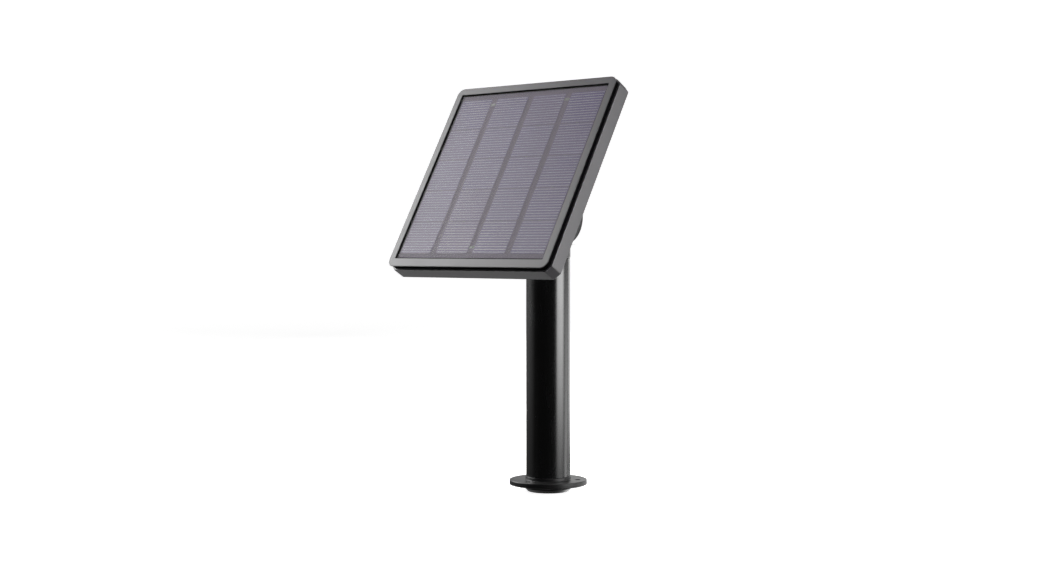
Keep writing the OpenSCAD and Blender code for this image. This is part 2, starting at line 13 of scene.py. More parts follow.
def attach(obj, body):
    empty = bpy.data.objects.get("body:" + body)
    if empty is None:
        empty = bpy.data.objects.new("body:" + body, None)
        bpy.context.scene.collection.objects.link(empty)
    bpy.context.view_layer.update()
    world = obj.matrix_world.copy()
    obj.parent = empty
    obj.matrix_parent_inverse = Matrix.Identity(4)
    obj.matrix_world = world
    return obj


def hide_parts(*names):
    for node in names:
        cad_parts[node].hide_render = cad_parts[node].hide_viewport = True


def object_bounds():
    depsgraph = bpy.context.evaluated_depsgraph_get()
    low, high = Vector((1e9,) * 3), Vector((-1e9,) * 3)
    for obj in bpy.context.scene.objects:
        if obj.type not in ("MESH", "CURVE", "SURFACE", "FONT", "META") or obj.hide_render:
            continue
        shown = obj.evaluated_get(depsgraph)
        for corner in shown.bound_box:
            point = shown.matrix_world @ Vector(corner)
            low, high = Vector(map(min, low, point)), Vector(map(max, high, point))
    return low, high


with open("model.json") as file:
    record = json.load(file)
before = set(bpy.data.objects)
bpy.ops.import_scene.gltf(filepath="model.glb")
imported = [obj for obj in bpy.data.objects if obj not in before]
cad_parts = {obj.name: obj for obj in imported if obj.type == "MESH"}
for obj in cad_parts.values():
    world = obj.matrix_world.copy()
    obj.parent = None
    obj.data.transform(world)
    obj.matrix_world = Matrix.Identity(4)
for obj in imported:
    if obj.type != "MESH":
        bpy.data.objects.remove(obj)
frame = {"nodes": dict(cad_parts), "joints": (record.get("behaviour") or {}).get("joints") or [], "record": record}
CAD_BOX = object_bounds()
MM = 0.001
TAU = 2 * math.pi

# ---- what the record says ----

JOINTS = {joint["name"]: joint for joint in frame["joints"]}
MOUNTS = {mount["name"]: mount for mount in frame["record"]["mounts"]}
SLOTS = {part["node"]: part["material_slot"] for part in frame["record"]["subparts"]}
BODIES = frame["record"]["behaviour"]["bodies"]
BODY_OF = {node: body for body, nodes in BODIES.items() for node in nodes}


def axes_at(origin, across, out):
    """The matrix of a frame at origin whose X is across and whose Z is out."""
    across, out = Vector(across).normalized(), Vector(out).normalized()
    columns = Matrix((across, out.cross(across), out)).transposed().to_4x4()
    return Matrix.Translation(Vector(origin)) @ columns


# The panel's own frame: X across it, Y up its slope and Z out of its face, from the hinge axis.
PANEL = axes_at(
    JOINTS["tilt"]["pos_m"],
    JOINTS["tilt"]["axis"],
    -Vector(MOUNTS["gland_bore"]["axis"]),
)
# The hinge's two ends: Z runs along its axis and away from the head.
KNOB = axes_at(JOINTS["tilt"]["pos_m"], (0, 1, 0), JOINTS["knob_turn"]["axis"])
CAP = axes_at(JOINTS["tilt"]["pos_m"], (0, 1, 0), JOINTS["tilt"]["axis"])
WORLD = Matrix.Identity(4)


def box_of(points):
    """The lowest and the highest corner of the box around some points."""
    return (
        Vector(min(p[i] for p in points) for i in range(3)),
        Vector(max(p[i] for p in points) for i in range(3)),
    )


def span(node, place=WORLD):
    """The lowest and highest corner of a CAD node, in the given frame, in metres."""
    inverse = place.inverted()
    return box_of([inverse @ v.co for v in frame["nodes"][node].data.vertices])


def span_mm(node, place=WORLD):
    """The same two corners in mm."""
    low, high = span(node, place)
    return low / MM, high / MM


def points_of(node, place=WORLD):
    """A CAD node's points in the given frame, in mm."""
    inverse = place.inverted()
    return [inverse @ v.co / MM for v in frame["nodes"][node].data.vertices]


def levels(node, place=WORLD):
    """The heights at which a CAD node has corners in the given frame, in mm, lowest first."""
    return sorted({round(p.z, 2) for p in points_of(node, place)})


def radii(node, height, place=WORLD):
    """How far a node's corners at one height are from the frame's Z axis, in mm."""
    at_height = [p for p in points_of(node, place) if abs(p.z - height) < 0.02]
    return sorted({round(p.xy.length, 2) for p in at_height})


def welded(node):
    """A CAD node's mesh with its seams welded and its flat faces made whole."""
    source = frame["nodes"][node].data
    bm = bmesh.new()
    made = [bm.verts.new(v.co) for v in source.vertices]
    for face in source.polygons:
        bm.faces.new([made[i] for i in face.vertices])
    bmesh.ops.remove_doubles(bm, verts=bm.verts, dist=2e-6)
    bmesh.ops.dissolve_limit(
        bm, angle_limit=math.radians(0.5), verts=bm.verts, edges=bm.edges
    )
    return bm


def solids(node, place=WORLD):
    """The lowest and highest corner of each separate solid of a CAD node, in the given frame."""
    bm = welded(node)
    inverse = place.inverted()
    left = set(bm.verts)
    found = []
    while left:
        island = set()
        frontier = [left.pop()]
        while frontier:
            vertex = frontier.pop()
            island.add(vertex)
            near = {e.other_vert(vertex) for e in vertex.link_edges} & left
            left -= near
            frontier.extend(near)
        found.append(box_of([inverse @ v.co for v in island]))
    bm.free()
    return sorted(found, key=lambda box: tuple(round(c, 5) for c in box[0]))


# ---- materials ----


class Finish:
    """A node material around one Principled shader, put together layer by layer."""

    def __init__(self, name, colour, roughness, metallic=0.0):
        self.material = bpy.data.materials.new(name)
        self.material.use_nodes = True
        self.nodes = self.material.node_tree.nodes
        self.links = self.material.node_tree.links
        self.shader = self.nodes["Principled BSDF"]
        self.shader.inputs["Base Color"].default_value = (*colour, 1)
        self.shader.inputs["Roughness"].default_value = roughness
        self.shader.inputs["Metallic"].default_value = metallic
        self.colour = None
        self.rough = None
        self.normal = None
        self.base = colour
        self.base_rough = roughness
        self.place = self.nodes.new("ShaderNodeTexCoord").outputs["Object"]

    def set(self, **values):
        """Sets constant values on the shader's own sockets."""
        for name, value in values.items():
            self.shader.inputs[name.replace("_", " ")].default_value = value
        return self

    def math(self, operation, a, b, clamp=False):
        """A sum or product of two sockets or numbers."""
        node = self.nodes.new("ShaderNodeMath")
        node.operation = operation
        node.use_clamp = clamp
        for socket, value in zip(node.inputs, (a, b)):
            self.feed(socket, value)
        return node.outputs[0]

    def feed(self, socket, value):
        """Links a socket to another, or gives it a plain value."""
        if isinstance(value, bpy.types.NodeSocket):
            self.links.new(value, socket)
        else:
            socket.default_value = value

    def stretched(self, scale):
        """The piece's own coordinates, stretched by a factor along each axis."""
        node = self.nodes.new("ShaderNodeMapping")
        node.inputs["Scale"].default_value = scale
        self.links.new(self.place, node.inputs["Vector"])
        return node.outputs["Vector"]

    def noise(self, size, detail=3.0, stretch=None, distortion=0.0):
        """Noise from 0 to 1 whose blots are about size metres across."""
        node = self.nodes.new("ShaderNodeTexNoise")
        node.inputs["Scale"].default_value = 1 / size
        node.inputs["Detail"].default_value = detail
        node.inputs["Distortion"].default_value = distortion
        where = self.stretched(stretch) if stretch else self.place
        self.links.new(where, node.inputs["Vector"])
        return node.outputs["Fac"]

    def cells(self, size, randomness=1.0):
        """The distance to the nearest point of a scatter about size metres apart."""
        node = self.nodes.new("ShaderNodeTexVoronoi")
        node.inputs["Scale"].default_value = 1 / size
        node.inputs["Randomness"].default_value = randomness
        self.links.new(self.place, node.inputs["Vector"])
        return node.outputs["Distance"]

    def remap(self, value, low, high, to_low=0.0, to_high=1.0):
        """A smooth step of value from to_low at low to to_high at high."""
        node = self.nodes.new("ShaderNodeMapRange")
        node.interpolation_type = "SMOOTHSTEP"
        for name, number in (
            ("From Min", low),
            ("From Max", high),
            ("To Min", to_low),
            ("To Max", to_high),
        ):
            node.inputs[name].default_value = number
        self.links.new(value, node.inputs["Value"])
        return node.outputs["Result"]

    def tint(self, mask, colour):
        """Lays colour over the base wherever mask is 1."""
        node = self.nodes.new("ShaderNodeMix")
        node.data_type = "RGBA"
        self.links.new(mask, node.inputs[0])
        self.feed(node.inputs[6], self.colour or (*self.base, 1))
        node.inputs[7].default_value = (*colour, 1)
        self.colour = node.outputs[2]
        self.links.new(self.colour, self.shader.inputs["Base Color"])
        return self

    def roughen(self, mask, change):
        """Adds change to the roughness wherever mask is 1."""
        part = self.math("MULTIPLY", mask, change)
        self.rough = self.math("ADD", part, self.rough or self.base_rough, clamp=True)
        self.links.new(self.rough, self.shader.inputs["Roughness"])
        return self

    def emboss(self, height, depth):
        """Raises the surface by up to depth metres where height is 1."""
        node = self.nodes.new("ShaderNodeBump")
        node.inputs["Strength"].default_value = 1.0
        node.inputs["Distance"].default_value = depth
        self.links.new(height, node.inputs["Height"])
        if self.normal:
            self.links.new(self.normal, node.inputs["Normal"])
        self.normal = node.outputs["Normal"]
        self.links.new(self.normal, self.shader.inputs["Normal"])
        return self

    def edges(self, radius):
        """1 along the piece's convex and concave edges, out to about radius metres."""
        bevel = self.nodes.new("ShaderNodeBevel")
        bevel.samples = 4
        bevel.inputs["Radius"].default_value = radius
        dot = self.nodes.new("ShaderNodeVectorMath")
        dot.operation = "DOT_PRODUCT"
        self.links.new(bevel.outputs["Normal"], dot.inputs[0])
        normal = self.nodes.new("ShaderNodeNewGeometry").outputs["Normal"]
        self.links.new(normal, dot.inputs[1])
        return self.remap(dot.outputs["Value"], 0.98, 0.8)

    def tint_edges(self, radius, colour, shine):
        """Gives the edges another colour and a different shine, in patches: scuffs on most parts, and on the shell
        a painted highlight.
        """
        patches = self.remap(self.noise(6 * MM, 4), 0.36, 0.56)
        mask = self.math("MULTIPLY", self.edges(radius), patches)
        return self.tint(mask, colour).roughen(mask, shine)


def shade(colour, factor):
    """A colour made lighter or darker."""
    return tuple(min(1.0, c * factor) for c in colour)


def moulded(name, colour, roughness, grain=0.45, depth=0.02, edge_gain=1.6, edge_width=0.5):
    """Moulded plastic: a fine spark-eroded grain, faint flow clouds and lightened edges, which are scuffs on most
    parts and, where edge_gain is large as on the shell, a painted highlight.

    The grain's size and depth, and edge_width, the width of the lightened edge, are in mm. edge_gain is how
    many times lighter that edge is."""
    spread = 0.12
    finish = Finish(name, colour, roughness)
    clouds = finish.remap(finish.noise(28 * MM, 3, distortion=0.6), 0.3, 0.7)
    finish.tint(clouds, shade(colour, 1 + spread))
    dust = finish.remap(finish.noise(3.5 * MM, 5), 0.55, 0.75)
    finish.tint(finish.math("MULTIPLY", dust, 0.35), shade(colour, 1 + 2 * spread))
    finish.roughen(clouds, 0.05).roughen(dust, 0.08)
    finish.tint_edges(edge_width * MM, shade(colour, edge_gain), -0.06)
    finish.emboss(finish.noise(grain * MM, 2), depth * MM)
    return finish


def powder_coated(name, colour, roughness, peel=0.03):
    """Powder coat on aluminium: orange peel of a depth in mm, specks, smears, rubbed edges."""
    edge_gain = 2.2
    finish = Finish(name, colour, roughness)
    clouds = finish.remap(finish.noise(45 * MM, 3), 0.35, 0.65)
    finish.tint(clouds, shade(colour, 1.25))
    specks = finish.remap(finish.cells(0.9 * MM), 0.12, 0.05)
    finish.tint(finish.math("MULTIPLY", specks, 0.5), shade(colour, 1.8))
    smears = finish.remap(finish.noise(9 * MM, 4, stretch=(1, 1, 0.25)), 0.5, 0.75)
    finish.roughen(smears, 0.07).roughen(clouds, 0.03)
    finish.tint_edges(0.4 * MM, shade(colour, edge_gain), -0.05)
    finish.emboss(finish.noise(1.4 * MM, 2), peel * MM)
    finish.emboss(finish.noise(0.25 * MM, 1), 0.004 * MM)
    return finish


def metal(name, colour, roughness):
    """Plated or machined metal: fine tool marks, cloudy plating and duller stains."""
    along_z, stain = (1, 1, 0.06), 0.7
    finish = Finish(name, colour, roughness, metallic=1.0)
    stains = finish.remap(finish.noise(4 * MM, 4), 0.5, 0.72)
    finish.tint(finish.math("MULTIPLY", stains, 0.6), shade(colour, stain))
    marks = finish.noise(0.3 * MM, 3, stretch=along_z)
    finish.roughen(marks, 0.12).roughen(stains, 0.12)
    finish.emboss(marks, 0.004 * MM)
    return finish


def rubber(name, colour, roughness=0.62, bloom=2.2):
    """Rubber: matt, with a pale bloom and a soft fine grain."""
    finish = Finish(name, colour, roughness)
    pale = finish.remap(finish.noise(7 * MM, 5), 0.5, 0.78)
    finish.tint(finish.math("MULTIPLY", pale, 0.5), shade(colour, bloom))
    finish.roughen(pale, 0.12)
    finish.emboss(finish.noise(0.35 * MM, 2), 0.01 * MM)
    return finish


def silicon(name):
    """A solar cell: lavender grey with a drift of tone from cell to cell and inside each."""
    base = (0.12, 0.078, 0.235)
    finish = Finish(name, base, 0.38)
    tone = finish.nodes.new("ShaderNodeAttribute")
    tone.attribute_name = "tone"
    warm = finish.remap(tone.outputs["Fac"], 0.3, 1.0)
    finish.tint(finish.math("MULTIPLY", warm, 0.55), (0.15, 0.085, 0.19))
    drift = finish.remap(finish.noise(42 * MM, 2), 0.35, 0.7)
    finish.tint(finish.math("MULTIPLY", drift, 0.5), (0.135, 0.09, 0.225))
    cloud = finish.noise(11 * MM, 2)
    finish.tint(finish.remap(cloud, 0.5, 0.75, 0.0, 0.2), (0.15, 0.11, 0.27))
    finish.roughen(drift, 0.05)
    finish.emboss(finish.noise(9 * MM, 2), 0.01 * MM)
    finish.set(Specular_IOR_Level=0.55)
    return finish


def silver_print(name):
    """The fingers printed on a cell: a dull grey paste, a little uneven along its lines."""
    finish = Finish(name, (0.46, 0.44, 0.55), 0.45)
    finish.tint(finish.remap(finish.noise(8 * MM, 3), 0.4, 0.7), (0.38, 0.36, 0.48))
    finish.roughen(finish.noise(3 * MM, 3), 0.1)
    finish.emboss(finish.noise(2 * MM, 2), 0.004 * MM)
    return finish


def clear_film(name):
    """The laminate over the cells: a satin film, nearly clear, with a faint haze."""
    finish = Finish(name, (0.5, 0.5, 0.505), 0.32)
    haze = finish.remap(finish.noise(30 * MM, 4), 0.35, 0.7)
    finish.tint(haze, (0.54, 0.535, 0.545))
    finish.roughen(haze, 0.05)
    finish.emboss(finish.noise(25 * MM, 2), 0.05 * MM)
    finish.set(Alpha=0.14)
    return finish


def circuit_board(name):
    """Solder mask over copper: a grid of raised pads shows as a lighter green."""
    finish = Finish(name, (0.03, 0.16, 0.06), 0.32)
    traces = finish.remap(finish.cells(2.4 * MM, 0.0), 0.3, 0.34)
    finish.tint(finish.math("MULTIPLY", traces, 0.5), (0.05, 0.26, 0.1))
    finish.roughen(finish.noise(3 * MM, 3), 0.1)
    finish.emboss(traces, 0.02 * MM)
    finish.set(Coat_Weight=0.4, Coat_Roughness=0.15)
    return finish


FINISHES = {
    "foot_black": lambda n: powder_coated(n, (0.009, 0.009, 0.0093), 0.33),
    "socket_black": lambda n: moulded(n, (0.007, 0.007, 0.0072), 0.36, edge_gain=2.0),
    "post_black": lambda n: powder_coated(n, (0.003, 0.003, 0.0031), 0.23, peel=0.01).set(
        Coat_Weight=1.0, Coat_Roughness=0.17
    ),
    "zinc_steel": lambda n: metal(n, (0.55, 0.55, 0.57), 0.3),
    "nylon_black": lambda n: moulded(n, (0.03, 0.03, 0.031), 0.42),
    "dark_steel": lambda n: metal(n, (0.16, 0.16, 0.17), 0.34),
    "glide_black": lambda n: moulded(n, (0.02, 0.02, 0.021), 0.3),
    "head_black": lambda n: powder_coated(n, (0.016, 0.016, 0.017), 0.34),
    "cap_black": lambda n: moulded(n, (0.035, 0.035, 0.037), 0.36),
    "knob_black": lambda n: moulded(n, (0.02, 0.02, 0.021), 0.46, 0.7, 0.05),
    "brass_insert": lambda n: metal(n, (0.7, 0.5, 0.22), 0.28),
    "bracket_black": lambda n: powder_coated(n, (0.018, 0.018, 0.019), 0.4, peel=0.05),
    "friction_grey": lambda n: moulded(n, (0.13, 0.13, 0.135), 0.55, 0.6, 0.03),
    # The shell's edges are made 5.5 times lighter over a 1 mm band: a painted highlight, mostly along its front
    # rim.
    "shell_grey": lambda n: moulded(n, (0.078, 0.074, 0.081), 0.38, 0.5, 0.012, 5.5, 1.0).set(
        Specular_IOR_Level=1.0
    ),
    "seal_black": lambda n: rubber(n, (0.002, 0.002, 0.0021), 0.7, 1.6).set(
        Specular_IOR_Level=0.02
    ),
    "frame_grey": lambda n: moulded(n, (0.086, 0.082, 0.09), 0.38, 0.5, 0.012).set(
        Specular_IOR_Level=0.75
    ),
    "bead_black": lambda n: rubber(n, (0.002, 0.002, 0.0021), 0.6, 1.6).set(
        Specular_IOR_Level=0.05
    ),
    "cover_clear": clear_film,
    "board_grey": lambda n: moulded(n, (0.17, 0.13, 0.2), 0.6, 2.0, 0.008).set(
        Specular_IOR_Level=0.15
    ),
    "ribbon_tin": lambda n: metal(n, (0.24, 0.24, 0.25), 0.5),
    "pcb_green": circuit_board,
    "ferrite_dark": lambda n: moulded(n, (0.05, 0.05, 0.055), 0.6, 0.3, 0.03),
    "capacitor_can": lambda n: metal(n, (0.72, 0.73, 0.75), 0.25),
    "terminal_green": lambda n: moulded(n, (0.04, 0.26, 0.09), 0.4),
    "lead_red": lambda n: rubber(n, (0.42, 0.02, 0.015), 0.4, 1.2),
    "lead_black": lambda n: rubber(n, (0.015, 0.015, 0.015), 0.4),
    "gland_black": lambda n: moulded(n, (0.018, 0.018, 0.019), 0.4),
    "gland_rubber": lambda n: rubber(n, (0.03, 0.03, 0.031)),
    "cell_silicon": silicon,
}
MATERIALS = {slot: make(slot).material for slot, make in FINISHES.items()}
SILVER = silver_print("printed_silver").material


# ---- mesh tools ----

# Edges that turn by more than this many degrees stay sharp in the shading.
SHARP_FROM = 38


def finished(name, bm, node, extra=()):
    """Makes a piece that replaces a CAD node, with its finish, its body and clean shading."""
    bmesh.ops.recalc_face_normals(bm, faces=bm.faces)
    mesh = bpy.data.meshes.new(name)
    bm.to_mesh(mesh)
    bm.free()
    for material in (MATERIALS[SLOTS[node]], *extra):
        mesh.materials.append(material)
    mesh.shade_smooth()
    mesh.set_sharp_from_angle(angle=math.radians(SHARP_FROM))
    piece = bpy.data.objects.new(name, mesh)
    bpy.context.scene.collection.objects.link(piece)
    weighted = piece.modifiers.new("even_shading", "WEIGHTED_NORMAL")
    weighted.keep_sharp = True
    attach(piece, BODY_OF[node])
    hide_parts(node)
    return piece


def softened(node, *rules, place=WORLD):
    """Replaces a CAD node by a copy whose edges are rounded.

    Each rule is (radius in mm, steps, test). The test gets an edge's middle and direction
    in the given frame, in mm, and says whether that edge is rounded."""
    bm = welded(node)
    inverse = place.inverted()
    for radius, steps, test in rules:
        chosen = []
        for edge in bm.edges:
            if len(edge.link_faces) != 2 or edge.calc_face_angle(0) < math.radians(20):
                continue
            a, b = (inverse @ v.co / MM for v in edge.verts)
            if test((a + b) / 2, (b - a).normalized()):
                chosen.append(edge)
        bmesh.ops.bevel(
            bm,
            geom=chosen,
            offset=radius * MM,
            offset_type="OFFSET",
            segments=steps,
            profile=0.5,
            affect="EDGES",
            clamp_overlap=False,
        )
    finished(node + "_body", bm, node)


def every(_middle, _direction):
    """The test that rounds every edge."""
    return True


def same(a, b, tolerance=0.03):
    """Whether two heights in mm are the same in the CAD."""
    return abs(a - b) < tolerance


def level(*heights):
    """A test for edges that lie flat at one of the given heights."""
    return lambda middle, _direction: any(same(middle.z, height) for height in heights)


def arc(centre, radius, start, stop, steps):
    """Points along an arc in a plane. Angles are in degrees."""
    turns = [math.radians(start + (stop - start) * i / steps) for i in range(steps + 1)]
    return [
        (centre[0] + radius * math.cos(t), centre[1] + radius * math.sin(t))
        for t in turns
    ]


def eased(profile, steps):
    """An open profile of (x, y, rounding) corners as points, with its inner corners rounded."""
    points = []
    last = len(profile) - 1
    for i, (x, y, rounding) in enumerate(profile):
        here = Vector((x, y))
        if not rounding or i in (0, last):
            points.append(tuple(here))
            continue
        before = Vector(profile[i - 1][:2]) - here
        after = Vector(profile[i + 1][:2]) - here
        half = before.angle(after) / 2
        reach = rounding / math.tan(half)
        reach = min(reach, 0.49 * before.length, 0.49 * after.length)
        start = here + before.normalized() * reach
        stop = here + after.normalized() * reach
        for k in range(steps + 1):
            t = k / steps
            curve = start * (1 - t) ** 2 + here * 2 * t * (1 - t) + stop * t**2
            points.append(tuple(curve))
    return points


def loft(bm, loops, place=WORLD, wrap=False, cap_first=False, cap_last=False, slot=0):
    """Skins closed loops of equal length, given in mm as (x, y, z) points."""
    rings = [[bm.verts.new(place @ (Vector(p) * MM)) for p in loop] for loop in loops]
    pairs = list(zip(rings, rings[1:]))
    if wrap:
        pairs.append((rings[-1], rings[0]))
    made = []
    for low, high in pairs:
        for i in range(len(low)):
            j = (i + 1) % len(low)
            made.append(bm.faces.new((low[i], low[j], high[j], high[i])))
    if cap_first:
        made.append(bm.faces.new(rings[0][::-1]))
    if cap_last:
        made.append(bm.faces.new(rings[-1]))
    for face in made:
        face.material_index = slot


def circle(radius, height, count, shape=None):
    """A loop of points around Z. shape gives a change of radius for each angle."""
    loop = []
    for i in range(count):
        turn = TAU * i / count
        r = radius + (shape(turn) if shape else 0)
        loop.append((r * math.cos(turn), r * math.sin(turn), height))
    return loop


def hexagon(across, height, count):
    """A loop of points along a regular hexagon, given its width across the flats."""
    apothem = across / 2
    step = TAU / 6
    loop = []
    for i in range(count):
        turn = TAU * i / count
        off = (turn + step / 2) % step - step / 2
        r = apothem / math.cos(off)
        loop.append((r * math.cos(turn), r * math.sin(turn), height))
    return loop


def turned(bm, profile, count, place=WORLD, wrap=False):
    """Turns a profile of (radius, height) points, in mm, around Z."""
    loft(bm, [circle(r, z, count) for r, z in profile], place, wrap)


def offset_loop(loop, distance):
    """A closed outline in a plane, moved inwards by distance. It runs anticlockwise."""
    moved = []
    count = len(loop)
    for i, point in enumerate(loop):
        here = Vector(point)
        before = (here - Vector(loop[i - 1])).normalized()
        after = (Vector(loop[(i + 1) % count]) - here).normalized()
        normal = Vector((-(before + after).y, (before + after).x)).normalized()
        stretch = max(0.3, normal.dot(Vector((-before.y, before.x))))
        moved.append(tuple(here + normal * distance / stretch))
    return moved


def rim_loops(points, under, over, low, high, steps):
    """An upright wall's loops from low to high, with the given roundings at its two rims."""
    rings = []
    for k in range(steps + 1):
        t = math.pi / 2 * k / steps
        rings.append((under * (1 - math.sin(t)), low + under * (1 - math.cos(t))))
    for k in range(steps + 1):
        t = math.pi / 2 * k / steps
        rings.append((over * (1 - math.cos(t)), high - over * (1 - math.sin(t))))
    return [[(x, y, z) for x, y in offset_loop(points, inset)] for inset, z in rings]


def slab(bm, outlines, low, high, place=WORLD, steps=3, slot=0):
    """A plate with rounded rims. outlines are (points, bottom rounding, top rounding) in mm,
    or lists of loops: the first is the outside, anticlockwise, the rest are clockwise holes."""
    bottom, top = [], []
    for outline in outlines:
        loops = outline
        if isinstance(outline, tuple):
            loops = rim_loops(*outline, low, high, steps)
        before = len(bm.verts)
        loft(bm, loops, place, slot=slot)
        bm.verts.ensure_lookup_table()
        made = bm.verts[before:]
        bottom.append((made[: len(loops[0])], loops[0]))
        top.append((made[-len(loops[0]) :], loops[-1]))
    for side in (bottom, top):
        vertices = [v for ring, _ in side for v in ring]
        flat = [[Vector((x, y, 0)) for x, y, _ in loop] for _, loop in side]
        for triangle in tessellate_polygon(flat):
            bm.faces.new([vertices[i] for i in triangle]).material_index = slot


def ring_points(radius, count, centre=(0, 0), clockwise=False):
    """A flat circle of points."""
    turns = [TAU * i / count for i in range(count)]
    if clockwise:
        turns.reverse()
    return [
        (centre[0] + radius * math.cos(t), centre[1] + radius * math.sin(t))
        for t in turns
    ]


def rounded_rectangle(width, height, radius, steps=10, rise=0.0):
    """The outline of a rectangle with round corners, anticlockwise."""
    points = []
    for quarter, (sx, sy) in enumerate(((1, 1), (-1, 1), (-1, -1), (1, -1))):
        centre = (sx * (width / 2 - radius), sy * (height / 2 - radius) + rise)
        points += arc(centre, radius, 90 * quarter, 90 * quarter + 90, steps)
    return points


def rounded_ring(section, width, height, corner, steps, rise=0.0):
    """Loops that carry a section of (inset, z) points round a rectangle with round corners.

    corner gives the corners' radius at an inset."""
    return [
        [
            (x, y, z)
            for x, y in rounded_rectangle(
                width - 2 * inset, height - 2 * inset, corner(inset), steps, rise
            )
        ]
        for inset, z in section
    ]


def screw(bm, place, head_r, head_h, shank_r, shank_l, key):
    """A pan-head screw along Z: the head's seat is at 0, its top at -head_h, all in mm.

    key is the width of its hexagon socket, across the flats."""
    dome = [
        (shank_r, 0, 0),
        (head_r, 0, 0.15),
        (head_r * 0.96, -head_h, 0.5),
        (key / 1.6, -head_h, 0),
    ]
    count = 48
    loops = [circle(shank_r * 0.7, shank_l, count), circle(shank_r, shank_l - 0.5, count)]
    loops += [circle(r, z, count) for r, z in eased(dome, steps=5)]
    loops += [
        hexagon(key * 1.08, -head_h, count),
        hexagon(key, -head_h + 0.12, count),
        hexagon(key, -head_h * 0.45, count),
        circle(key * 0.1, -head_h * 0.35, count),
    ]
    loft(bm, loops, place, cap_first=True, cap_last=True)


def screw_set(node, place, head_h, key):
    """One screw for each solid of a CAD node. The screws' shanks run along the frame's Z."""
    bm = bmesh.new()
    for box in solids(node, place):
        low, high = (corner / MM for corner in box)
        head_r = (high.x - low.x) / 2
        at = Vector(((low.x + high.x) / 2, (low.y + high.y) / 2, low.z + head_h))
        spin = Matrix.Rotation(random.uniform(0, TAU), 4, "Z")
        screw(
            bm,
            place @ Matrix.Translation(at * MM) @ spin,
            head_r,
            head_h,
            shank_r=head_r * 0.52,
            shank_l=high.z - low.z - head_h,
            key=key,
        )
    finished(node + "_set", bm, node)


random.seed(7)

# ---- the panel ----


def front_frame():
    """The frame, with its outer rim, its window and the rim's underside eased."""
    rim = span_mm("front_frame", PANEL)[1]
    lip_low = span_mm("perimeter_seal", PANEL)[1].z
    near_rim = 0.97
    corner_cut = 4

    def on_rim(middle):
        across, up = abs(middle.x), abs(middle.y)
        beyond = across > near_rim * rim.x or up > near_rim * rim.y
        return beyond or across + up > 2 * near_rim * rim.x - corner_cut

    def rim_top(middle, _direction):
        return same(middle.z, rim.z) and on_rim(middle)

    def window_top(middle, _direction):
        return same(middle.z, rim.z) and not on_rim(middle)

    def rim_under(middle, _direction):
        return same(middle.z, lip_low) and on_rim(middle)

    softened(
        "front_frame",
        (0.45, 3, rim_top),
        (0.3, 2, window_top),
        (0.2, 2, rim_under),
        place=PANEL,
    )


def rear_shell():
    """The shell, with its back, its uprights, its front rim and its holes eased."""
    low, high = span_mm("rear_shell", PANEL)
    border, skin, corner_cut = 7, 0.1, 6.5

    def within(middle, distance):
        return abs(middle.x) > high.x - distance or abs(middle.y) > high.y - distance

    def body_edges(middle, direction):
        upright = abs(direction.z) > 0.9 and within(middle, skin)
        return upright or (same(middle.z, low.z) and within(middle, border))

    def front_rim(middle, _direction):
        at_cut = abs(middle.x) + abs(middle.y) > high.x + high.y - corner_cut
        return same(middle.z, high.z) and (within(middle, skin) or at_cut)

    def holes(middle, _direction):
        return same(middle.z, low.z) and not within(middle, border)

    softened(
        "rear_shell",
        (0.7, 3, body_edges),
        (0.15, 2, front_rim),
        (0.25, 2, holes),
        place=PANEL,
    )


def perimeter_seal():
    """The lip seal between the frame and the shell: soft ridges around the panel's edge."""
    low, high = span_mm("perimeter_seal", PANEL)
    inset = span_mm("front_frame", PANEL)[1].x - high.x
    frame_corner = 7
    thickness = 2.0
    ridges, depth, steps = 3, 0.28, 18
    section = []
    for i in range(steps + 1):
        t = i / steps
        wave = 0.5 - 0.5 * math.cos(TAU * ridges * t)
        section.append((depth * (1 - wave), low.z + (high.z - low.z) * t))
    section += [(thickness, high.z), (thickness, low.z)]
    bm = bmesh.new()
    loops = rounded_ring(
        section, 2 * high.x, 2 * high.y, lambda d: frame_corner - inset - d, steps=12
    )
    loft(bm, loops, PANEL, wrap=True)
    finished("perimeter_seal_lip", bm, "perimeter_seal")


def laminate_bead():
    """The black sealant around the cover, slightly dished; the same black piece also covers the window's wall up
    to the frame's face.
    """
    low, high = span_mm("laminate_bead", PANEL)
    cover_low, cover_high = span_mm("cover_sheet", PANEL)
    width, height = high.x - low.x, high.y - low.y
    bead = (width - (cover_high.x - cover_low.x)) / 2 - 0.05
    joint = cover_high.z - 0.1
    lining, sag = 0.3, 0.2
    # The section's first points carry the black up the whole window wall, so that wall shows black.
    section = [(0.0, low.z), (0.0, high.z - 0.1), (0.1, high.z), (lining - 0.1, high.z)]
    steps = 8
    for i in range(steps + 1):
        t = i / steps
        dip = (high.z - joint - 0.15) * (1 - t) ** 4
        reach = lining + (bead - lining) * t
        section.append((reach, joint + dip - sag * math.sin(math.pi * t) * t))
    section.append((bead, low.z))
    bm = bmesh.new()
    rise = (low.y + high.y) / 2
    loops = rounded_ring(
        section, width, height, lambda d: 0.6 - 0.4 * d / bead, steps=4, rise=rise
    )
    loft(bm, loops, PANEL, wrap=True)
    finished("laminate_bead_joint", bm, "laminate_bead")


def cover_sheet():
    """The film over the cells, just clear of their printed fingers."""
    low, high = span_mm("cover_sheet", PANEL)
    rise = (low.y + high.y) / 2
    outline = rounded_rectangle(high.x - low.x, high.y - low.y, 0.4, 4, rise)
    clearance = 0.04
    bm = bmesh.new()
    slab(bm, [(outline, 0.05, 0.15)], low.z + clearance, high.z, PANEL)
    finished("cover_sheet_film", bm, "cover_sheet")


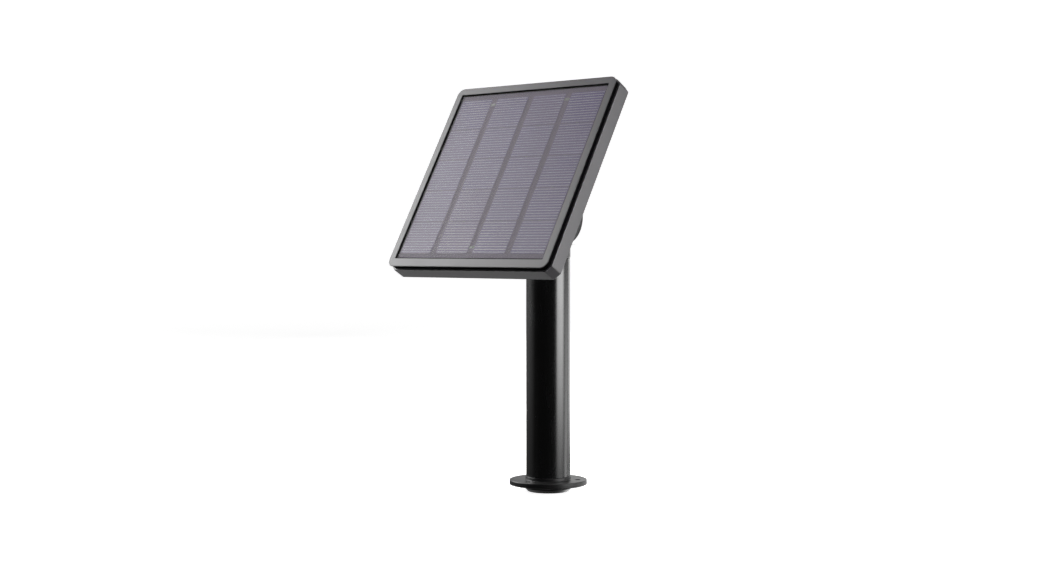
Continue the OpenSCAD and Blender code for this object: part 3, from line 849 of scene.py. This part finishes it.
def solar_cell(node, fingers=12):
    """One cell: a thin wafer with cropped corners and its printed fingers."""
    low, high = span_mm(node, PANEL)
    width, height = high.x - low.x, high.y - low.y
    middle = Vector(((low.x + high.x) / 2, (low.y + high.y) / 2, 0))
    place = PANEL @ Matrix.Translation(middle * MM)
    crop = 0.9
    outline = []
    for sx, sy in ((1, 1), (-1, 1), (-1, -1), (1, -1)):
        corner = [
            (sx * width / 2, sy * (height / 2 - crop)),
            (sx * (width / 2 - crop), sy * height / 2),
        ]
        outline += corner if sx * sy > 0 else corner[::-1]
    bm = bmesh.new()
    print_t, sink = 0.02, 0.005
    slab(bm, [(outline, 0.02, 0.03)], low.z, high.z - print_t, place, steps=1)
    margin, finger_w = 0.6, 0.34
    x = (width - 2 * margin) / 2
    for i in range(fingers):
        y = (i + 0.5) * height / fingers - height / 2
        above, below = y + finger_w / 2, y - finger_w / 2
        strip = ([(x, above), (-x, above), (-x, below), (x, below)], 0.0, 0.008)
        slab(bm, [strip], high.z - print_t - sink, high.z, place, steps=1, slot=1)
    piece = finished(node + "_wafer", bm, node, extra=(SILVER,))
    tone = piece.data.attributes.new("tone", "FLOAT", "POINT")
    value = random.random()
    tone.data.foreach_set("value", [value] * len(piece.data.vertices))


def panel():
    """The panel's pieces: its frame and shell, what lies between them and its sets of screws."""
    front_frame()
    rear_shell()
    perimeter_seal()
    laminate_bead()
    cover_sheet()
    for node in BODIES["panel"]:
        if node.startswith("solar_cell"):
            solar_cell(node)
    board_top = span_mm("cell_board", PANEL)[1].z
    softened("cell_board", (0.15, 1, level(board_top)), place=PANEL)
    screw_set("shell_screws", PANEL, head_h=2.0, key=2.2)
    screw_set("bracket_screws", PANEL, head_h=2.4, key=3.0)
    face_down = PANEL @ Matrix.Rotation(math.pi, 4, "X")
    screw_set("regulator_screws", face_down, head_h=1.25, key=1.4)


def gland_cap():
    """The cable gland's cap nut: a round nose and a ribbed grip."""
    low, high = span_mm("gland_cap", PANEL)
    seal_low, seal_high = span_mm("gland_seal", PANEL)
    middle = Vector(((low.x + high.x) / 2, (low.y + high.y) / 2, 0))
    place = PANEL @ Matrix.Translation(middle * MM)
    outer = (high.x - low.x) / 2
    seal_r = (seal_high.x - seal_low.x) / 2 + 0.05
    seat = seal_high.z - 0.8
    mouth, neck_r, shoulder = 3.2, 6.55, 3.2
    ribs, rib_depth = 24, 0.35

    def ribbed(turn):
        return -rib_depth * max(0.0, math.cos(ribs * turn)) ** 3

    nose = [
        (mouth, low.z, 0),
        (outer - 2.2, low.z, 0.9),
        (outer, low.z + shoulder, 1.0),
        (outer, high.z, 0),
    ]
    count = 240
    loops = [circle(r, z, count) for r, z in eased(nose, steps=5)[:9]]
    loops += [
        circle(outer, low.z + shoulder + 1.0, count),
        circle(outer, low.z + shoulder + 1.6, count, ribbed),
        circle(outer, high.z - 1.0, count, ribbed),
        circle(outer, high.z - 0.4, count),
        circle(outer - 0.4, high.z, count),
        circle(neck_r, high.z, count),
        circle(neck_r, seat, count),
        circle(seal_r, seat, count),
        circle(seal_r, seal_low.z, count),
        circle(mouth, seal_low.z, count),
    ]
    bm = bmesh.new()
    loft(bm, loops, place, wrap=True)
    finished("gland_cap_ribbed", bm, "gland_cap")


# ---- the post and its foot ----


def foot_plate():
    """The round foot: its screw holes, the seat for the socket under it and its collar."""
    heights = levels("foot_plate")
    low, seat, plate_top, top = heights[0], heights[1], heights[-2], heights[-1]
    radius = span_mm("foot_plate")[1].x
    seat_r = radii("foot_plate", low)[0]
    bore_r, collar_r = radii("foot_plate", top)[0], radii("foot_plate", top)[-1]
    bolts = MOUNTS["foot_bolts"]["dims"]
    pcd, hole_r = bolts["pcd_mm"] / 2, bolts["hole_r_mm"]
    first_hole = math.radians(30)
    holes = []
    for i in range(bolts["count"]):
        turn = first_hole + TAU * i / bolts["count"]
        centre = (pcd * math.cos(turn), pcd * math.sin(turn))
        holes.append((ring_points(hole_r, 40, centre, clockwise=True), 0.15, 0.45))
    steps_down = ((seat_r, low), (seat_r, seat), (bore_r, seat), (bore_r, plate_top))
    middle = [
        [(x, y, z) for x, y in ring_points(r, 96, clockwise=True)] for r, z in steps_down
    ]
    rim = (ring_points(radius, 192), 0.5, 0.8)
    bm = bmesh.new()
    slab(bm, [rim, middle, *holes], low, plate_top, steps=4)
    collar = [
        (collar_r + 0.5, plate_top - 0.1, 0),
        (collar_r, plate_top + 0.25, 0.2),
        (collar_r, top, 0.35),
        (bore_r, top, 0.2),
        (bore_r, plate_top, 0),
    ]
    turned(bm, eased(collar, steps=3), wrap=True, count=192)
    finished("foot_plate_casting", bm, "foot_plate")


def spike_socket():
    """The moulded socket under the foot: a coned boss, a groove and a shank into the hub."""
    low, *_, cone, groove, lip, seat, bore_end, top = levels("spike_socket")
    widest = {z: radii("spike_socket", z)[-1] for z in (low, cone, groove, lip, top)}
    bore_r = radii("spike_socket", low)[0]
    profile = [
        (0.0, bore_end, 0),
        (bore_r, bore_end, 0.3),
        (bore_r, low, 0.5),
        (widest[low], low, 0.9),
        (widest[cone], cone, 0.25),
        (widest[groove], groove, 0.2),
        (widest[lip], lip, 0.3),
        (widest[lip], seat, 0.1),
        (widest[top], seat, 0.0),
        (widest[top], top, 0.5),
        (0.0, top, 0),
    ]
    bm = bmesh.new()
    turned(bm, eased(profile, steps=4), count=192)
    bmesh.ops.remove_doubles(bm, verts=bm.verts, dist=1e-6)
    finished("spike_socket_turned", bm, "spike_socket")


def post_tube():
    """The tube, with its two rims more rounded than its holes."""
    low, high = span_mm("post_tube")
    softened("post_tube", (0.3, 3, level(low.z, high.z)), (0.15, 2, every))


def bush_screws():
    """The small screws through the tube's wall into the bush, a third of a turn apart."""
    low, high = span_mm("swivel_bush_screws")
    post_r = span_mm("post_tube")[1].x
    seat = Matrix.Translation(Vector((post_r, 0, (low.z + high.z) / 2)) * MM)
    inward = Matrix.Rotation(-math.pi / 2, 4, "Y")
    bm = bmesh.new()
    for turn in (90, 210, 330):
        place = Matrix.Rotation(math.radians(turn), 4, "Z") @ seat @ inward
        screw(bm, place, head_r=2.75, head_h=1.4, shank_r=1.5, shank_l=5, key=1.5)
    finished("swivel_bush_screws_set", bm, "swivel_bush_screws")


# ---- the head and the knob ----


def hinge_cap():
    """The round cap in the hinge's right cheek: a raised ring around a dished middle."""
    low, high = span_mm("hinge_cap", CAP)
    radius = high.x
    dish, ring = high.z - 0.5, high.z - 0.05
    profile = [
        (0.0, dish, 0),
        (radius * 0.62, dish, 1.5),
        (radius * 0.7, ring, 0.5),
        (radius * 0.88, ring, 0.6),
        (radius, high.z - 0.7, 0.5),
        (radius, low.z, 0.2),
        (0.0, low.z, 0),
    ]
    bm = bmesh.new()
    turned(bm, eased(profile, steps=5), count=160, place=CAP)
    bmesh.ops.remove_doubles(bm, verts=bm.verts, dist=1e-6)
    finished("hinge_cap_dished", bm, "hinge_cap")


def clamp_knob(flutes=12):
    """The knob: rounded finger flutes, a soft crown and a dished face."""
    back, pocket_end, crown, *_, top = levels("clamp_knob", KNOB)
    radius = radii("clamp_knob", crown, KNOB)[-1]
    crown_r = radii("clamp_knob", top, KNOB)[-1]
    pocket_r = radii("knob_insert", pocket_end, KNOB)[-1] + 0.03
    bore_r = span_mm("hinge_bolt", KNOB)[1].x + 0.6
    flute_r, blend = 3.0, 0.5
    flute_centre = radius + flute_r / 2

    def dip(r, turn):
        """How far the flutes cut into a circle of radius r, blended at their shoulders."""
        off = (turn + math.pi / flutes) % (TAU / flutes) - math.pi / flutes
        side = flute_centre * math.sin(off)
        if abs(side) >= flute_r:
            return 0.0
        wall = flute_centre * math.cos(off) - math.sqrt(flute_r**2 - side**2)
        gap = max(0.0, blend - abs(r - wall)) / blend
        return min(r, wall) - gap * gap * blend / 4 - r

    profile = [(bore_r, crown - 0.5), (bore_r, pocket_end), (pocket_r, pocket_end)]
    profile += [(pocket_r, back), (radius - 0.6, back), (radius - 0.15, back + 0.2)]
    skin = [
        (radius, back + 0.6, 0),
        (radius, crown - 0.3, 1.2),
        (crown_r, top, 1.0),
        (radius * 0.8, top, 0.6),
        (radius * 0.75, top - 0.9, 0.8),
        (0.5, top - 1.15, 0),
    ]
    profile += eased(skin, steps=5)
    count = 24 * flutes
    loops = [circle(r, z, count, lambda turn, r=r: dip(r, turn)) for r, z in profile]
    bm = bmesh.new()
    loft(bm, loops, KNOB, cap_first=True, cap_last=True)
    finished("clamp_knob_fluted", bm, "clamp_knob")


# Parts that keep their CAD shape and only have every edge eased: the radius in mm, the steps.
EASED_PARTS = {
    "panel_bracket": (0.5, 3),
    "friction_discs": (0.15, 2),
    "gland_body": (0.25, 2),
    "gland_locknut": (0.2, 2),
    "gland_seal": (0.2, 2),
    "post_hub": (0.3, 2),
    "post_lock_screw": (0.2, 2),
    "swivel_bush": (0.3, 2),
    "swivel_glide_ring": (0.15, 2),
    "head_yoke": (0.5, 3),
    "knob_washer": (0.2, 2),
    "knob_insert": (0.2, 2),
    "hinge_bolt": (0.3, 2),
    "swivel_keeper_washer": (0.2, 2),
    "swivel_keeper_screw": (0.3, 2),
}

# ---- the studio ----

# The camera, fitted to the photograph's edges: degrees, metres, and a lens in mm.
CAMERA_BEARING = 40.85
CAMERA_DISTANCE = 1.4844
CAMERA_HEIGHT = 0.2156
CAMERA_LENS = 56.65
CAMERA_PAN = 0.881
CAMERA_DIP = 1.329
# The paper sweep is brightest behind the stand, low on the left: its bearing and its rise.
SWEEP = (-152, -38)
# How bright the surroundings are, by the cosine of the angle from the sweep's brightest part.
GLOW_BY_COSINE = ((-1.0, 0.015), (-0.1, 0.02), (0.35, 0.05), (0.7, 0.26), (0.95, 0.5))
# The height in metres of the point on the post's axis that the lights stand around and face.
POST_MIDDLE = 0.17
# Each light's bearing and rise from there in degrees, its distance, width and height in
# metres, its radiance, and the part of its half width over which it dims.
LIGHTS = {
    "key_box": (66, 6, 1.6, 1.8, 1.25, 6.4, 0.7),
    "rear_box": (106, -14, 1.8, 1.3, 1.2, 1.6, 0.6),
    "back_card": (152, 3, 2.0, 2.8, 1.2, 1.4, 0.4),
    "panel_box": (-119, 26, 1.5, 2.0, 1.5, 8.3, 0.75),
    "left_card": (-115, 0, 2.0, 4.4, 1.2, 0.2, 0.8),
    "edge_box": (24, 46, 1.3, 0.9, 0.9, 2.0, 0.5),
    "under_card": (142, -34, 1.3, 1.5, 1.0, 3.2, 0.5),
    "rear_top_box": (170, 48, 1.6, 1.6, 1.0, 3.0, 0.5),
}


def towards(bearing, rise):
    """The direction at a rise and a bearing, which counts from the camera to its picture's right."""
    turn = math.radians(CAMERA_BEARING + bearing)
    lift = math.radians(rise)
    flat = math.cos(lift)
    return Vector((math.sin(turn) * flat, -math.cos(turn) * flat, math.sin(lift)))


def camera():
    """The photograph's viewpoint: just above the middle of the post, to the right of its front."""
    data = bpy.data.cameras.new("camera")
    data.sensor_width = 36
    data.lens = CAMERA_LENS
    data.dof.use_dof = False
    eye = bpy.data.objects.new("camera", data)
    bearing = math.radians(CAMERA_BEARING)
    eye.location = (
        CAMERA_DISTANCE * math.sin(bearing),
        -CAMERA_DISTANCE * math.cos(bearing),
        CAMERA_HEIGHT,
    )
    level_turn = Matrix.Rotation(bearing + math.radians(CAMERA_PAN), 4, "Z")
    dip = Matrix.Rotation(math.pi / 2 - math.radians(CAMERA_DIP), 4, "X")
    eye.rotation_euler = (level_turn @ dip).to_euler()
    bpy.context.scene.collection.objects.link(eye)
    bpy.context.scene.camera = eye


def glow(name, radiance, fade):
    """A light's surface: it dims smoothly over the outer part, fade, of its half width."""
    material = bpy.data.materials.new(name)
    material.use_nodes = True
    nodes, links = material.node_tree.nodes, material.node_tree.links
    nodes.clear()
    place = nodes.new("ShaderNodeSeparateXYZ")
    links.new(nodes.new("ShaderNodeTexCoord").outputs["Object"], place.inputs[0])
    product = nodes.new("ShaderNodeMath")
    product.operation = "MULTIPLY"
    for axis in (0, 1):
        size = nodes.new("ShaderNodeMath")
        size.operation = "ABSOLUTE"
        links.new(place.outputs[axis], size.inputs[0])
        ramp = nodes.new("ShaderNodeMapRange")
        ramp.interpolation_type = "SMOOTHSTEP"
        ramp.inputs["From Min"].default_value = 0.5
        ramp.inputs["From Max"].default_value = 0.5 - 0.5 * fade
        links.new(size.outputs[0], ramp.inputs["Value"])
        links.new(ramp.outputs["Result"], product.inputs[axis])
    emission = nodes.new("ShaderNodeEmission")
    links.new(product.outputs[0], emission.inputs["Color"])
    emission.inputs["Strength"].default_value = radiance
    links.new(emission.outputs[0], nodes.new("ShaderNodeOutputMaterial").inputs[0])
    return material


def softbox(name, bearing, rise, distance, width, height, radiance, fade):
    """A glowing panel that faces the object, outside the camera's view."""
    away = towards(bearing, rise)
    middle = Vector((0, 0, POST_MIDDLE))
    mesh = bpy.data.meshes.new(name)
    sheet = [(-0.5, -0.5, 0), (0.5, -0.5, 0), (0.5, 0.5, 0), (-0.5, 0.5, 0)]
    mesh.from_pydata(sheet, [], [(0, 1, 2, 3)])
    mesh.materials.append(glow(name, radiance, fade))
    box = bpy.data.objects.new(name, mesh)
    box.location = middle + away * distance
    box.rotation_mode = "QUATERNION"
    box.rotation_quaternion = away.to_track_quat("Z", "Y")
    box.scale = (width, height, 1)
    box.visible_camera = False
    box.visible_shadow = False
    bpy.context.scene.collection.objects.link(box)


def studio():
    """The lights, and a paper sweep's glow around everything."""
    for name, numbers in LIGHTS.items():
        softbox(name, *numbers)
    world = bpy.data.worlds.new("studio")
    world.use_nodes = True
    nodes, links = world.node_tree.nodes, world.node_tree.links
    cosine = nodes.new("ShaderNodeVectorMath")
    cosine.operation = "DOT_PRODUCT"
    links.new(nodes.new("ShaderNodeTexCoord").outputs["Generated"], cosine.inputs[0])
    cosine.inputs[1].default_value = towards(*SWEEP)
    place = nodes.new("ShaderNodeMapRange")
    place.inputs["From Min"].default_value = -1.0
    links.new(cosine.outputs["Value"], place.inputs["Value"])
    ramp = nodes.new("ShaderNodeValToRGB")
    ramp.color_ramp.interpolation = "EASE"
    stops = ramp.color_ramp.elements
    while len(stops) < len(GLOW_BY_COSINE):
        stops.new(1.0)
    for stop, (cosine_here, strength) in zip(stops, GLOW_BY_COSINE):
        stop.position = (cosine_here + 1) / 2
        stop.color = (strength, strength, strength, 1)
    links.new(place.outputs["Result"], ramp.inputs["Fac"])
    background = nodes["Background"]
    links.new(ramp.outputs["Color"], background.inputs["Color"])
    background.inputs["Strength"].default_value = 1.0
    bpy.context.scene.world = world
    bpy.context.scene.view_settings.view_transform = "Standard"


def backdrop():
    """A plain pale floor that curves up all round, so that no horizon shows."""
    floor = CAD_BOX[0].z
    radius, bend, top = 5.0, 2.0, 6.0
    profile = [(0.0, 0.0), (1.0, 0.0), (radius - bend, 0.0)]
    profile += arc((radius - bend, bend), bend, -90, 0, 12)[1:]
    profile += [(radius, top), (0.0, top + 2.0)]
    bm = bmesh.new()
    turned(bm, [(r / MM, (z + floor) / MM) for r, z in profile], count=64)
    bmesh.ops.remove_doubles(bm, verts=bm.verts, dist=1e-6)
    mesh = bpy.data.meshes.new("backdrop")
    bm.to_mesh(mesh)
    bm.free()
    mesh.shade_smooth()
    paper = Finish("backdrop_paper", (0.9, 0.9, 0.9), 0.8)
    paper.tint(paper.remap(paper.noise(0.4, 3), 0.3, 0.7), (0.88, 0.88, 0.88))
    paper.set(Emission_Color=(1, 1, 1, 1), Emission_Strength=0.92)
    mesh.materials.append(paper.material)
    wall = bpy.data.objects.new("backdrop", mesh)
    wall.visible_diffuse = False
    wall.visible_glossy = False
    wall.visible_shadow = False
    bpy.context.scene.collection.objects.link(wall)


camera()
panel()
gland_cap()
foot_plate()
spike_socket()
post_tube()
hinge_cap()
clamp_knob()
bush_screws()
for node, (radius, steps) in EASED_PARTS.items():
    softened(node, (radius, steps, every))
studio()
backdrop()

# Every CAD node that still shows takes its own finish.
for node, part in frame["nodes"].items():
    if not part.hide_render:
        for socket in part.material_slots:
            socket.link = "OBJECT"
            socket.material = MATERIALS[SLOTS[node]]
